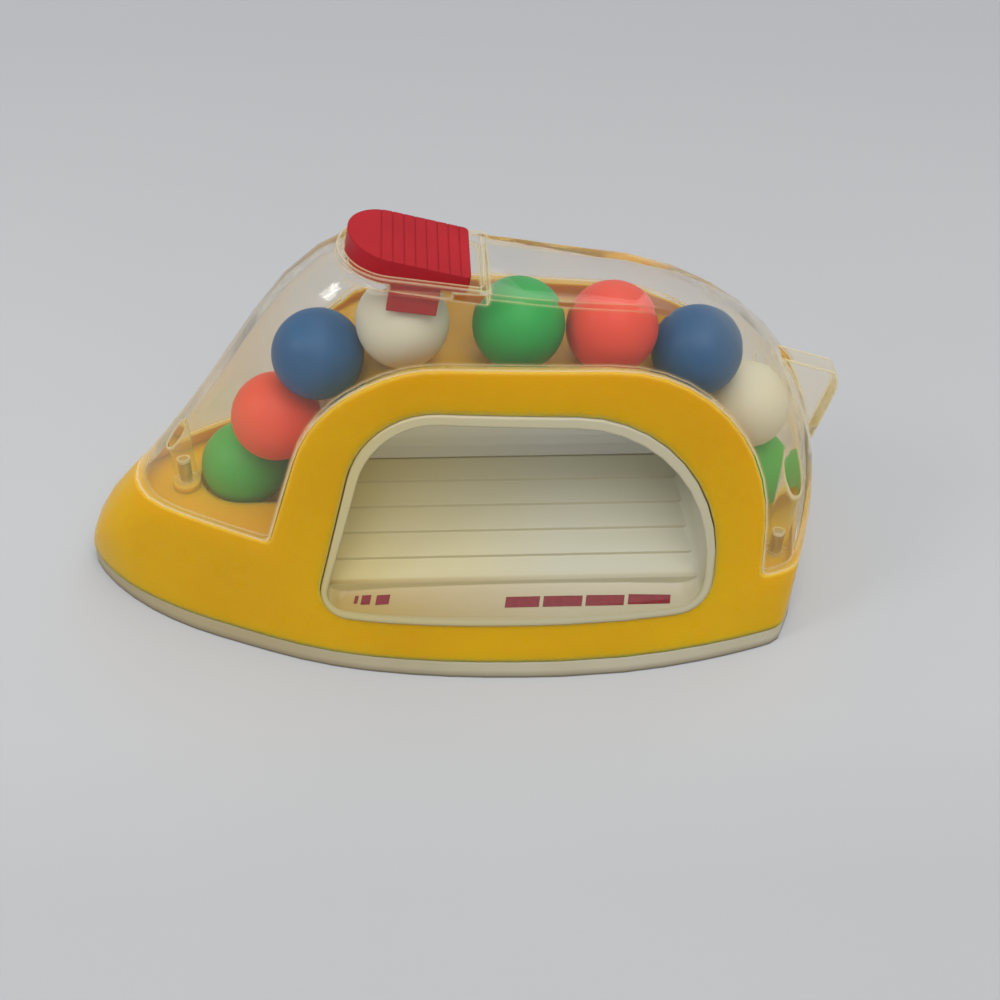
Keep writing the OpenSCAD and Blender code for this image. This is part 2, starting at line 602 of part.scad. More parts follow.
well_back = slide_travel + 2 * slide_clearance;
module clear_hood() {
    color([0.92, 0.89, 0.76, 0.35])
        difference() {
            union() {
                difference() {
                    union() {
                        difference() {
                            iron_form(0);
                            across(seam_line(0));
                        }
                        rotate([90, 0, 0])
                            linear_extrude(height = fin_thickness, center = true)
                                intersection() {
                                    polygon(fin_line());
                                    square([overall_length / 2, roof_height]);
                                }
                    }
                    iron_form(shell_wall);
                }
                on_roof()
                    translate([0, 0, -well_depth - well_wall])
                        linear_extrude(height = well_depth + well_wall)
                            slide_plan(slide_clearance + well_wall, well_back + well_wall);
                intersection() {
                    union()
                        for (p = boss_places)
                            translate([p[0], p[1], p[1] == 0 ? pedestal_top + stand_off : deck_height + stand_off])
                                cylinder(d = boss_diameter, h = roof_height, $fn = 32);
                    iron_form(shell_wall / 2);
                }
            }
            on_roof() {
                translate([0, 0, -well_depth])
                    linear_extrude(height = 2 * well_depth + roof_room)
                        slide_plan(slide_clearance, well_back);
                for (s = [-1, 1])
                    translate([leg_front - slide_clearance,
                        s * (leg_y + leg_thickness / 2) - leg_thickness / 2 - slide_clearance - (s > 0 ? 0 : hook_reach),
                        -well_depth - well_wall - overrun])
                        cube([leg_length + slide_travel + 2 * slide_clearance,
                            leg_thickness + hook_reach + 2 * slide_clearance, well_wall + 2 * overrun]);
            }
            for (p = boss_places)
                translate([p[0], p[1], 0])
                    cylinder(d = screw_diameter + 2 * screw_play,
                        h = (p[1] == 0 ? pedestal_top : deck_height) + bite + overrun, $fn = 32);
        }
}

module ball(at) {
    translate([at[0], len(at) > 2 ? at[2] : 0, at[1]])
        sphere(d = ball_diameter, $fn = 48);
}

green = [0.24, 0.60, 0.32];
coral = [0.87, 0.37, 0.31];
blue = [0.18, 0.37, 0.57];
white = [0.85, 0.84, 0.79];

module near_tunnel_liner() {
    color([0.80, 0.79, 0.74]) tunnel_liner(-1);
}

module far_tunnel_liner() {
    color([0.80, 0.79, 0.74]) tunnel_liner(1);
}

module front_green_ball() {
    color(green) ball(front_green_at);
}

module front_coral_ball() {
    color(coral) ball(front_coral_at);
}

module front_blue_ball() {
    color(blue) ball(front_blue_at);
}

module front_white_ball() {
    color(white) ball(front_white_at);
}

module middle_green_ball() {
    color(green) ball(middle_green_at);
}

module middle_coral_ball() {
    color(coral) ball(middle_coral_at);
}

module rear_blue_ball() {
    color(blue) ball(rear_blue_at);
}

module rear_white_ball() {
    color(white) ball(rear_white_at);
}

module rear_green_ball() {
    color(green) ball(rear_green_at);
}

sole_plate();
body_shell();
near_tunnel_liner();
far_tunnel_liner();
clear_hood();
thumb_slide();
front_green_ball();
front_coral_ball();
front_blue_ball();
front_white_ball();
middle_green_ball();
middle_coral_ball();
rear_blue_ball();
rear_white_ball();
rear_green_ball();
hood_screws();
sole_screws();
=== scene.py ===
import math

import bmesh
import bpy
from mathutils import Matrix, Vector
from mathutils.bvhtree import BVHTree


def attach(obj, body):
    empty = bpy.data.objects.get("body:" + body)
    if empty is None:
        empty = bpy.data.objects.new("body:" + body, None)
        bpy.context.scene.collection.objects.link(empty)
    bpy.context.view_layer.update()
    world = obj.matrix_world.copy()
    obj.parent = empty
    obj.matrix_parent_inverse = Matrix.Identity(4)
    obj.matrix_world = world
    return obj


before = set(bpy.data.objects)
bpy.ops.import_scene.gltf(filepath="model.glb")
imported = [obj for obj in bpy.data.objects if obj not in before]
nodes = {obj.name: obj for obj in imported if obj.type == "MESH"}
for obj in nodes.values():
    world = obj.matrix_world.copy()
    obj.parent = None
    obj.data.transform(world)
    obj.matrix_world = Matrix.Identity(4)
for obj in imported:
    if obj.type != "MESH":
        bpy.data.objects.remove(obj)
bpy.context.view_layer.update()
scene = bpy.context.scene


# Camera: it looks down at the near side, with the nose at the left, from about 0.4 m away.
# Its turn, tilt and distance were fitted to the outlines of the balls, the sole and the hood.
yaw, pitch, roll = math.radians(4.3), math.radians(43.8), math.radians(1.9)
aim = Vector((0.0126, 0.0, 0.0165))
distance = 0.3938
look = Vector((
    math.sin(yaw) * math.cos(pitch),
    math.cos(yaw) * math.cos(pitch),
    -math.sin(pitch)))
level_right = Vector((math.cos(yaw), -math.sin(yaw), 0.0))
level_up = level_right.cross(look)
camera_right = math.cos(roll) * level_right + math.sin(roll) * level_up
camera_up = -math.sin(roll) * level_right + math.cos(roll) * level_up
camera_data = bpy.data.cameras.new("camera")
camera_data.lens = 54.0
camera_data.sensor_width = 36.0
camera_data.clip_start = 0.01
camera = bpy.data.objects.new("camera", camera_data)
scene.collection.objects.link(camera)
camera_place = aim - distance * look
camera.matrix_world = Matrix((
    (camera_right.x, camera_up.x, -look.x, camera_place.x),
    (camera_right.y, camera_up.y, -look.y, camera_place.y),
    (camera_right.z, camera_up.z, -look.z, camera_place.z),
    (0.0, 0.0, 0.0, 1.0)))
scene.camera = camera
scene.view_settings.view_transform = "Standard"


# Floor: a pale matte sheet of paper with a trace of unevenness, wide enough to fill every view.
# It lies just under the sole, and painted shade makes it darker behind the toy and in front, away
# from it.
half_floor = 4
floor_mesh = bpy.data.meshes.new("floor")
floor_mesh.from_pydata([
    (-half_floor, -half_floor, 0), (half_floor, -half_floor, 0),
    (half_floor, half_floor, 0), (-half_floor, half_floor, 0)], [], [(0, 1, 2, 3)])
floor = bpy.data.objects.new("floor", floor_mesh)
floor.location.z = -0.0002
scene.collection.objects.link(floor)
floor_material = bpy.data.materials.new("floor_paper")
floor_material.use_nodes = True
tree = floor_material.node_tree
shader = tree.nodes["Principled BSDF"]
shader.inputs["Roughness"].default_value = 0.75
shader.inputs["Specular IOR Level"].default_value = 0.25
coords = tree.nodes.new("ShaderNodeTexCoord")
cloud = tree.nodes.new("ShaderNodeTexNoise")
cloud.inputs["Scale"].default_value = 5.0
cloud.inputs["Detail"].default_value = 3.0
ramp = tree.nodes.new("ShaderNodeValToRGB")
ramp.color_ramp.elements[0].position = 0.3
ramp.color_ramp.elements[0].color = (0.505, 0.515, 0.531, 1)
ramp.color_ramp.elements[1].position = 0.75
ramp.color_ramp.elements[1].color = (0.537, 0.545, 0.557, 1)
tree.links.new(coords.outputs["Object"], cloud.inputs["Vector"])
tree.links.new(cloud.outputs["Fac"], ramp.inputs["Fac"])
depth = tree.nodes.new("ShaderNodeSeparateXYZ")
far_off = tree.nodes.new("ShaderNodeMapRange")
far_off.inputs["From Min"].default_value = 0.01
far_off.inputs["From Max"].default_value = 0.30
far_off.inputs["To Min"].default_value = 0.0
far_off.inputs["To Max"].default_value = 1.0
near_off = tree.nodes.new("ShaderNodeMapRange")
near_off.inputs["From Min"].default_value = -0.060
near_off.inputs["From Max"].default_value = -0.105
near_off.inputs["To Min"].default_value = 0.0
near_off.inputs["To Max"].default_value = 0.45
away = tree.nodes.new("ShaderNodeMath")
away.operation = "MAXIMUM"
# Painted shade: the paper turns darker away from the toy, standing in for light falling off.
painted_falloff_shade = tree.nodes.new("ShaderNodeMixRGB")
painted_falloff_shade.inputs["Color2"].default_value = (0.440, 0.448, 0.463, 1)
tree.links.new(coords.outputs["Object"], depth.inputs["Vector"])
tree.links.new(depth.outputs["Y"], far_off.inputs["Value"])
tree.links.new(depth.outputs["Y"], near_off.inputs["Value"])
tree.links.new(far_off.outputs["Result"], away.inputs[0])
tree.links.new(near_off.outputs["Result"], away.inputs[1])
tree.links.new(away.outputs["Value"], painted_falloff_shade.inputs["Fac"])
tree.links.new(ramp.outputs["Color"], painted_falloff_shade.inputs["Color1"])
tree.links.new(painted_falloff_shade.outputs["Color"], shader.inputs["Base Color"])
floor_mesh.materials.append(floor_material)


# Light: a bright even room, broad daylight from high in front and from overhead behind, and a
# small side window that shows as the white highlight on the hood. The camera, mirrored rays and
# rays through the hood see the room as pale as the floor, so that the floor has no dark end.
world = bpy.data.worlds.new("room")
scene.world = world
world.use_nodes = True
tree = world.node_tree
tree.nodes.clear()
out = tree.nodes.new("ShaderNodeOutputWorld")
room = tree.nodes.new("ShaderNodeBackground")
room.inputs["Color"].default_value = (0.93, 0.96, 1.0, 1)
room.inputs["Strength"].default_value = 0.46
backdrop = tree.nodes.new("ShaderNodeBackground")
backdrop.inputs["Color"].default_value = (0.500, 0.510, 0.526, 1)
backdrop.inputs["Strength"].default_value = 1.0
seen = tree.nodes.new("ShaderNodeLightPath")
mirrored = tree.nodes.new("ShaderNodeMath")
mirrored.operation = "MAXIMUM"
seen_through = tree.nodes.new("ShaderNodeMath")
seen_through.operation = "MAXIMUM"
either = tree.nodes.new("ShaderNodeMixShader")
tree.links.new(seen.outputs["Is Camera Ray"], mirrored.inputs[0])
tree.links.new(seen.outputs["Is Glossy Ray"], mirrored.inputs[1])
tree.links.new(mirrored.outputs["Value"], seen_through.inputs[0])
tree.links.new(seen.outputs["Is Transmission Ray"], seen_through.inputs[1])
tree.links.new(seen_through.outputs["Value"], either.inputs["Fac"])
tree.links.new(room.outputs["Background"], either.inputs[1])
tree.links.new(backdrop.outputs["Background"], either.inputs[2])
tree.links.new(either.outputs["Shader"], out.inputs["Surface"])
for name, place, spread, strength, tint in (
        ("front_daylight", (0.10, -0.55, 1.25), 50.0, 1.36, (1.0, 0.99, 0.97)),
        ("back_daylight", (0.35, 0.45, 1.25), 50.0, 0.62, (1.0, 0.98, 0.95))):
    lamp_data = bpy.data.lights.new(name, "SUN")
    lamp_data.angle = math.radians(spread)
    lamp_data.energy = strength
    lamp_data.color = tint
    lamp = bpy.data.objects.new(name, lamp_data)
    lamp.location = place
    lamp.rotation_euler = (-Vector(place)).to_track_quat("-Z", "Y").to_euler()
    scene.collection.objects.link(lamp)
side_data = bpy.data.lights.new("side_window", "AREA")
side_data.size = 0.28
side_data.energy = 1.6
side_data.color = (1.0, 0.99, 0.98)
side_window = bpy.data.objects.new("side_window", side_data)
side_window.location = (-0.78, -0.24, 0.74)
toy_middle = Vector((0.0, 0.0, 0.04))
side_window.rotation_euler = (toy_middle - side_window.location).to_track_quat("-Z", "Y").to_euler()
scene.collection.objects.link(side_window)


# Smooth shading for all solids: coincident corners are joined, curved faces are shaded smooth,
# and only edges of more than 32 degrees stay crisp, as on moulded parts.
shade = bpy.data.node_groups.new("moulded_shading", "GeometryNodeTree")
shade.is_modifier = True
shade.interface.new_socket("Geometry", in_out="INPUT", socket_type="NodeSocketGeometry")
shade.interface.new_socket("Geometry", in_out="OUTPUT", socket_type="NodeSocketGeometry")
shade_in = shade.nodes.new("NodeGroupInput")
shade_out = shade.nodes.new("NodeGroupOutput")
drop = shade.nodes.new("GeometryNodeRemoveAttribute")
drop.inputs["Name"].default_value = "custom_normal"
weld = shade.nodes.new("GeometryNodeMergeByDistance")
weld.inputs["Distance"].default_value = 0.000002
edge_angle = shade.nodes.new("GeometryNodeInputMeshEdgeAngle")
is_soft = shade.nodes.new("FunctionNodeCompare")
is_soft.data_type = "FLOAT"
is_soft.operation = "LESS_THAN"
is_soft.inputs[1].default_value = math.radians(32.0)
soft_faces = shade.nodes.new("GeometryNodeSetShadeSmooth")
soft_faces.domain = "FACE"
soft_edges = shade.nodes.new("GeometryNodeSetShadeSmooth")
soft_edges.domain = "EDGE"
shade.links.new(shade_in.outputs[0], drop.inputs["Geometry"])
shade.links.new(drop.outputs["Geometry"], weld.inputs["Geometry"])
shade.links.new(weld.outputs["Geometry"], soft_faces.inputs["Geometry"])
shade.links.new(soft_faces.outputs["Geometry"], soft_edges.inputs["Geometry"])
shade.links.new(edge_angle.outputs["Unsigned Angle"], is_soft.inputs[0])
shade.links.new(is_soft.outputs["Result"], soft_edges.inputs["Shade Smooth"])
shade.links.new(soft_edges.outputs["Geometry"], shade_out.inputs[0])
for node in nodes.values():
    node.modifiers.new("moulded_shading", "NODES").node_group = shade


# Yellow body: one hollow moulding of glossy yellow plastic with the nose, the arched sides and
# the ball track, screwed to the sole from below. Its colour varies a little, it has faint smears
# and fine scratches, and its sharp edges are mixed paler as a painted highlight.
yellow = bpy.data.materials.new("body_yellow_plastic")
yellow.use_nodes = True
tree = yellow.node_tree
shader = tree.nodes["Principled BSDF"]
shader.inputs["IOR"].default_value = 1.5
shader.inputs["Specular IOR Level"].default_value = 0.15
shader.inputs["Coat Weight"].default_value = 0.12
shader.inputs["Coat Roughness"].default_value = 0.16
shader.inputs["Subsurface Weight"].default_value = 0.85
shader.inputs["Subsurface Radius"].default_value = (1.0, 0.55, 0.08)
shader.inputs["Subsurface Scale"].default_value = 0.005
coords = tree.nodes.new("ShaderNodeTexCoord")
patches = tree.nodes.new("ShaderNodeTexNoise")
patches.inputs["Scale"].default_value = 22.0
patches.inputs["Detail"].default_value = 4.0
tone = tree.nodes.new("ShaderNodeValToRGB")
tone.color_ramp.elements[0].position = 0.30
tone.color_ramp.elements[0].color = (0.685, 0.360, 0.001, 1)
tone.color_ramp.elements[1].position = 0.72
tone.color_ramp.elements[1].color = (0.755, 0.425, 0.001, 1)
smears = tree.nodes.new("ShaderNodeTexNoise")
smears.inputs["Scale"].default_value = 70.0
smears.inputs["Detail"].default_value = 6.0
smears.inputs["Roughness"].default_value = 0.7
gloss = tree.nodes.new("ShaderNodeMapRange")
gloss.inputs["From Min"].default_value = 0.35
gloss.inputs["From Max"].default_value = 0.75
gloss.inputs["To Min"].default_value = 0.24
gloss.inputs["To Max"].default_value = 0.42
scratch_turn = tree.nodes.new("ShaderNodeMapping")
scratch_turn.inputs["Rotation"].default_value = (0.3, 0.5, 0.8)
scratch_turn.inputs["Scale"].default_value = (1.0, 14.0, 1.0)
scratches = tree.nodes.new("ShaderNodeTexNoise")
scratches.inputs["Scale"].default_value = 120.0
scratches.inputs["Detail"].default_value = 5.0
scratch_bump = tree.nodes.new("ShaderNodeBump")
scratch_bump.inputs["Strength"].default_value = 0.05
scratch_bump.inputs["Distance"].default_value = 0.0002
soft_edge = tree.nodes.new("ShaderNodeBevel")
soft_edge.samples = 4
soft_edge.inputs["Radius"].default_value = 0.0018
true_normal = tree.nodes.new("ShaderNodeNewGeometry")
agree = tree.nodes.new("ShaderNodeVectorMath")
agree.operation = "DOT_PRODUCT"
# Painted highlight: the sharp edges are mixed toward pale yellow so that they look lit.
edge_highlight_share = tree.nodes.new("ShaderNodeMapRange")
edge_highlight_share.inputs["From Min"].default_value = 0.955
edge_highlight_share.inputs["From Max"].default_value = 0.72
edge_highlight_share.inputs["To Min"].default_value = 0.0
edge_highlight_share.inputs["To Max"].default_value = 0.55
painted_edge_highlight = tree.nodes.new("ShaderNodeMixRGB")
painted_edge_highlight.inputs["Color2"].default_value = (1.0, 0.68, 0.20, 1)
tree.links.new(coords.outputs["Object"], patches.inputs["Vector"])
tree.links.new(coords.outputs["Object"], smears.inputs["Vector"])
tree.links.new(coords.outputs["Object"], scratch_turn.inputs["Vector"])
tree.links.new(scratch_turn.outputs["Vector"], scratches.inputs["Vector"])
tree.links.new(patches.outputs["Fac"], tone.inputs["Fac"])
tree.links.new(soft_edge.outputs["Normal"], agree.inputs[0])
tree.links.new(true_normal.outputs["Normal"], agree.inputs[1])
tree.links.new(agree.outputs["Value"], edge_highlight_share.inputs["Value"])
tree.links.new(edge_highlight_share.outputs["Result"], painted_edge_highlight.inputs["Fac"])
tree.links.new(tone.outputs["Color"], painted_edge_highlight.inputs["Color1"])
tree.links.new(painted_edge_highlight.outputs["Color"], shader.inputs["Base Color"])
tree.links.new(smears.outputs["Fac"], gloss.inputs["Value"])
tree.links.new(gloss.outputs["Result"], shader.inputs["Roughness"])
tree.links.new(scratches.outputs["Fac"], scratch_bump.inputs["Height"])
tree.links.new(soft_edge.outputs["Normal"], scratch_bump.inputs["Normal"])
tree.links.new(scratch_bump.outputs["Normal"], shader.inputs["Normal"])
nodes["body_shell"].data.materials.clear()
nodes["body_shell"].data.materials.append(yellow)


# Nose deck: the shallow yellow floor under the hood's nose, moulded with the body of the same
# plastic. It lies a little under the seam, runs to the shell's inner wall all round, and leaves
# a round-ended channel in which the lowest ball rolls.
inner_wall = BVHTree.FromObject(nodes["body_shell"], bpy.context.evaluated_depsgraph_get())
low_ball = nodes["front_green_ball"]
ball_corners = [low_ball.matrix_world @ Vector(corner) for corner in low_ball.bound_box]
ball_low = [min(corner[axis] for corner in ball_corners) for axis in range(3)]
ball_high = [max(corner[axis] for corner in ball_corners) for axis in range(3)]
ball_clearance = 0.0006
channel_x = (ball_low[0] + ball_high[0]) / 2
channel_y = (ball_low[1] + ball_high[1]) / 2
channel_radius = (ball_high[0] - ball_low[0]) / 2 + ball_clearance
track_foot = -0.0425
deck_top_height, deck_foot_height = 0.0242, 0.0158
inside_nose, inside_side, tip_room, wall_bite = -0.0735, 0.0042, 0.0004, 0.0001
side_steps, end_steps = 40, 24
deck_rings = []
for height in (deck_top_height, deck_foot_height):
    tip = inner_wall.ray_cast(Vector((inside_nose, 0.0, height)), Vector((-1, 0, 0)))[0].x
    near_edge, far_edge = [], []
    for step in range(side_steps + 1):
        along = track_foot + (tip + tip_room - track_foot) * step / side_steps
        near = inner_wall.ray_cast(Vector((along, -inside_side, height)), Vector((0, -1, 0)))[0]
        far = inner_wall.ray_cast(Vector((along, inside_side, height)), Vector((0, 1, 0)))[0]
        near_edge.append((along, near.y - wall_bite))
        far_edge.append((along, far.y + wall_bite))
    ring = near_edge + [(tip - wall_bite, 0.0)] + far_edge[::-1]
    ring.append((track_foot, channel_y + channel_radius))
    for step in range(end_steps + 1):
        turn = math.pi / 2 + math.pi * step / end_steps
        ring.append((
            channel_x + channel_radius * math.cos(turn),
            channel_y + channel_radius * math.sin(turn)))
    ring.append((track_foot, channel_y - channel_radius))
    deck_rings.append([(spot[0], spot[1], height) for spot in ring])
deck_mesh = bmesh.new()
deck_top = [deck_mesh.verts.new(spot) for spot in deck_rings[0]]
deck_foot = [deck_mesh.verts.new(spot) for spot in deck_rings[1]]
deck_mesh.faces.new(deck_top)
deck_mesh.faces.new(deck_foot[::-1])
for step in range(len(deck_top)):
    deck_mesh.faces.new((deck_top[step - 1], deck_foot[step - 1], deck_foot[step], deck_top[step]))
bmesh.ops.triangulate(deck_mesh, faces=deck_mesh.faces[:])
bmesh.ops.recalc_face_normals(deck_mesh, faces=deck_mesh.faces[:])
deck_data = bpy.data.meshes.new("nose_deck")
deck_mesh.to_mesh(deck_data)
deck_mesh.free()
deck_data.materials.append(yellow)
deck = bpy.data.objects.new("nose_deck", deck_data)
scene.collection.objects.link(deck)
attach(deck, "iron")


# Sole: a flat plate of pale grey-white plastic with a low rim, moulded in one and screwed to the
# body from below. It has gone dull, browner towards the nose, and painted shadow darkens its foot.
pale = bpy.data.materials.new("sole_pale_plastic")
pale.use_nodes = True
tree = pale.node_tree
shader = tree.nodes["Principled BSDF"]
shader.inputs["IOR"].default_value = 1.5
coords = tree.nodes.new("ShaderNodeTexCoord")
patches = tree.nodes.new("ShaderNodeTexNoise")
patches.inputs["Scale"].default_value = 30.0
patches.inputs["Detail"].default_value = 5.0
tone = tree.nodes.new("ShaderNodeValToRGB")
tone.color_ramp.elements[0].position = 0.3
tone.color_ramp.elements[0].color = (0.46, 0.405, 0.26, 1)
tone.color_ramp.elements[1].position = 0.7
tone.color_ramp.elements[1].color = (0.55, 0.50, 0.37, 1)
place = tree.nodes.new("ShaderNodeSeparateXYZ")
foot = tree.nodes.new("ShaderNodeMapRange")
foot.inputs["From Min"].default_value = 0.0
foot.inputs["From Max"].default_value = 0.0018
foot.inputs["To Min"].default_value = 0.85
foot.inputs["To Max"].default_value = 0.0
# Painted shadow: the foot of the sole is darkened next to the floor as a contact shadow.
painted_contact_shadow = tree.nodes.new("ShaderNodeMixRGB")
painted_contact_shadow.inputs["Color2"].default_value = (0.20, 0.16, 0.10, 1)
ageing = tree.nodes.new("ShaderNodeMapRange")
ageing.inputs["From Min"].default_value = 0.000
ageing.inputs["From Max"].default_value = -0.050
ageing.inputs["To Min"].default_value = 0.0
ageing.inputs["To Max"].default_value = 0.85
aged = tree.nodes.new("ShaderNodeMixRGB")
aged.inputs["Color2"].default_value = (0.40, 0.32, 0.17, 1)
gloss = tree.nodes.new("ShaderNodeMapRange")
gloss.inputs["To Min"].default_value = 0.30
gloss.inputs["To Max"].default_value = 0.55
soft_edge = tree.nodes.new("ShaderNodeBevel")
soft_edge.samples = 4
soft_edge.inputs["Radius"].default_value = 0.0009
grain = tree.nodes.new("ShaderNodeBump")
grain.inputs["Strength"].default_value = 0.06
grain.inputs["Distance"].default_value = 0.0002
tree.links.new(coords.outputs["Object"], patches.inputs["Vector"])
tree.links.new(coords.outputs["Object"], place.inputs["Vector"])
tree.links.new(place.outputs["Z"], foot.inputs["Value"])
tree.links.new(foot.outputs["Result"], painted_contact_shadow.inputs["Fac"])
tree.links.new(patches.outputs["Fac"], tone.inputs["Fac"])
tree.links.new(place.outputs["X"], ageing.inputs["Value"])
tree.links.new(ageing.outputs["Result"], aged.inputs["Fac"])
tree.links.new(tone.outputs["Color"], aged.inputs["Color1"])
tree.links.new(aged.outputs["Color"], painted_contact_shadow.inputs["Color1"])
tree.links.new(painted_contact_shadow.outputs["Color"], shader.inputs["Base Color"])
tree.links.new(patches.outputs["Fac"], gloss.inputs["Value"])
tree.links.new(gloss.outputs["Result"], shader.inputs["Roughness"])
tree.links.new(patches.outputs["Fac"], grain.inputs["Height"])
tree.links.new(soft_edge.outputs["Normal"], grain.inputs["Normal"])
tree.links.new(grain.outputs["Normal"], shader.inputs["Normal"])
nodes["sole_plate"].data.materials.clear()
nodes["sole_plate"].data.materials.append(pale)


# Tunnel liners: two mouldings of glossy off-white plastic, pushed into the body from its two sides
# until they meet in the middle. They turn cream towards the nose, partly from age and partly as
# painted yellow bounce light; painted shade darkens their outer rim, and the ledge inside the
# window is darker.
cream = bpy.data.materials.new("liner_cream_plastic")
cream.use_nodes = True
tree = cream.node_tree
shader = tree.nodes["Principled BSDF"]
shader.inputs["IOR"].default_value = 1.5
shader.inputs["Coat Weight"].default_value = 0.2
shader.inputs["Coat Roughness"].default_value = 0.1
coords = tree.nodes.new("ShaderNodeTexCoord")
place = tree.nodes.new("ShaderNodeSeparateXYZ")
patches = tree.nodes.new("ShaderNodeTexNoise")
patches.inputs["Scale"].default_value = 18.0
patches.inputs["Detail"].default_value = 4.0
# Partly real ageing and partly painted bounce light: the yellow towards the nose also stands in for
# light reflected off the yellow body.
ageing = tree.nodes.new("ShaderNodeMapRange")
ageing.inputs["From Min"].default_value = -0.035
ageing.inputs["From Max"].default_value = 0.026
ageing.inputs["To Min"].default_value = 1.10
ageing.inputs["To Max"].default_value = 0.0
aged = tree.nodes.new("ShaderNodeMath")
aged.operation = "MULTIPLY"
tone = tree.nodes.new("ShaderNodeMixRGB")
tone.inputs["Color1"].default_value = (0.60, 0.580, 0.455, 1)
tone.inputs["Color2"].default_value = (0.78, 0.585, 0.09, 1)
gloss = tree.nodes.new("ShaderNodeMapRange")
gloss.inputs["To Min"].default_value = 0.22
gloss.inputs["To Max"].default_value = 0.42
soft_edge = tree.nodes.new("ShaderNodeBevel")
soft_edge.samples = 4
soft_edge.inputs["Radius"].default_value = 0.0006
rounded_rim = tree.nodes.new("ShaderNodeBevel")
rounded_rim.samples = 4
rounded_rim.inputs["Radius"].default_value = 0.0015
true_normal = tree.nodes.new("ShaderNodeNewGeometry")
agree = tree.nodes.new("ShaderNodeVectorMath")
agree.operation = "DOT_PRODUCT"
rim = tree.nodes.new("ShaderNodeMapRange")
rim.inputs["From Min"].default_value = 0.995
rim.inputs["From Max"].default_value = 0.90
rim.inputs["To Min"].default_value = 0.35
rim.inputs["To Max"].default_value = 0.85
outward = tree.nodes.new("ShaderNodeMath")
outward.operation = "ABSOLUTE"
outer = tree.nodes.new("ShaderNodeMapRange")
outer.inputs["From Min"].default_value = 0.0290
outer.inputs["From Max"].default_value = 0.0345
outer_rim = tree.nodes.new("ShaderNodeMath")
outer_rim.operation = "MULTIPLY"
heading = tree.nodes.new("ShaderNodeSeparateXYZ")
sideways = tree.nodes.new("ShaderNodeMath")
sideways.operation = "ABSOLUTE"
upright = tree.nodes.new("ShaderNodeMapRange")
upright.inputs["From Min"].default_value = 0.70
upright.inputs["From Max"].default_value = 0.86
upright.inputs["To Min"].default_value = 0.0
upright.inputs["To Max"].default_value = 0.4
rim_shade_share = tree.nodes.new("ShaderNodeMath")
rim_shade_share.operation = "MAXIMUM"
# Painted shade: the outer rim and the sideways-facing faces are mixed darker so that they look
# shaded.
painted_rim_shade = tree.nodes.new("ShaderNodeMixRGB")
painted_rim_shade.inputs["Color2"].default_value = (0.43, 0.34, 0.12, 1)
# The up-facing ledge inside the window is made darker.
on_ledge = tree.nodes.new("ShaderNodeMapRange")
on_ledge.inputs["From Min"].default_value = 0.0305
on_ledge.inputs["From Max"].default_value = 0.0315
facing_up = tree.nodes.new("ShaderNodeMapRange")
facing_up.inputs["From Min"].default_value = 0.60
facing_up.inputs["From Max"].default_value = 0.90
facing_up.inputs["To Min"].default_value = 0.0
facing_up.inputs["To Max"].default_value = 0.75
ledge_darkening = tree.nodes.new("ShaderNodeMath")
ledge_darkening.operation = "MULTIPLY"
ledge_dark_tone = tree.nodes.new("ShaderNodeMixRGB")
ledge_dark_tone.inputs["Color1"].default_value = (0.46, 0.40, 0.27, 1)
ledge_dark_tone.inputs["Color2"].default_value = (0.43, 0.27, 0.06, 1)
ledge_tone = tree.nodes.new("ShaderNodeMixRGB")
grain = tree.nodes.new("ShaderNodeBump")
grain.inputs["Strength"].default_value = 0.04
grain.inputs["Distance"].default_value = 0.0002
tree.links.new(coords.outputs["Object"], place.inputs["Vector"])
tree.links.new(coords.outputs["Object"], patches.inputs["Vector"])
tree.links.new(place.outputs["X"], ageing.inputs["Value"])
tree.links.new(ageing.outputs["Result"], aged.inputs[0])
tree.links.new(patches.outputs["Fac"], aged.inputs[1])
tree.links.new(aged.outputs["Value"], tone.inputs["Fac"])
tree.links.new(rounded_rim.outputs["Normal"], agree.inputs[0])
tree.links.new(true_normal.outputs["Normal"], agree.inputs[1])
tree.links.new(agree.outputs["Value"], rim.inputs["Value"])
tree.links.new(place.outputs["Y"], outward.inputs[0])
tree.links.new(outward.outputs["Value"], outer.inputs["Value"])
tree.links.new(rim.outputs["Result"], outer_rim.inputs[0])
tree.links.new(outer.outputs["Result"], outer_rim.inputs[1])
tree.links.new(true_normal.outputs["Normal"], heading.inputs["Vector"])
tree.links.new(heading.outputs["Y"], sideways.inputs[0])
tree.links.new(sideways.outputs["Value"], upright.inputs["Value"])
tree.links.new(outer_rim.outputs["Value"], rim_shade_share.inputs[0])
tree.links.new(upright.outputs["Result"], rim_shade_share.inputs[1])
tree.links.new(rim_shade_share.outputs["Value"], painted_rim_shade.inputs["Fac"])
tree.links.new(tone.outputs["Color"], painted_rim_shade.inputs["Color1"])
tree.links.new(outward.outputs["Value"], on_ledge.inputs["Value"])
tree.links.new(heading.outputs["Z"], facing_up.inputs["Value"])
tree.links.new(on_ledge.outputs["Result"], ledge_darkening.inputs[0])
tree.links.new(facing_up.outputs["Result"], ledge_darkening.inputs[1])
tree.links.new(ageing.outputs["Result"], ledge_dark_tone.inputs["Fac"])
tree.links.new(ledge_dark_tone.outputs["Color"], ledge_tone.inputs["Color2"])
tree.links.new(ledge_darkening.outputs["Value"], ledge_tone.inputs["Fac"])
tree.links.new(painted_rim_shade.outputs["Color"], ledge_tone.inputs["Color1"])
tree.links.new(ledge_tone.outputs["Color"], shader.inputs["Base Color"])
tree.links.new(patches.outputs["Fac"], gloss.inputs["Value"])
tree.links.new(gloss.outputs["Result"], shader.inputs["Roughness"])
tree.links.new(patches.outputs["Fac"], grain.inputs["Height"])
tree.links.new(soft_edge.outputs["Normal"], grain.inputs["Normal"])
tree.links.new(grain.outputs["Normal"], shader.inputs["Normal"])
for name in ("near_tunnel_liner", "far_tunnel_liner"):
    nodes[name].data.materials.clear()
    nodes[name].data.materials.append(cream)
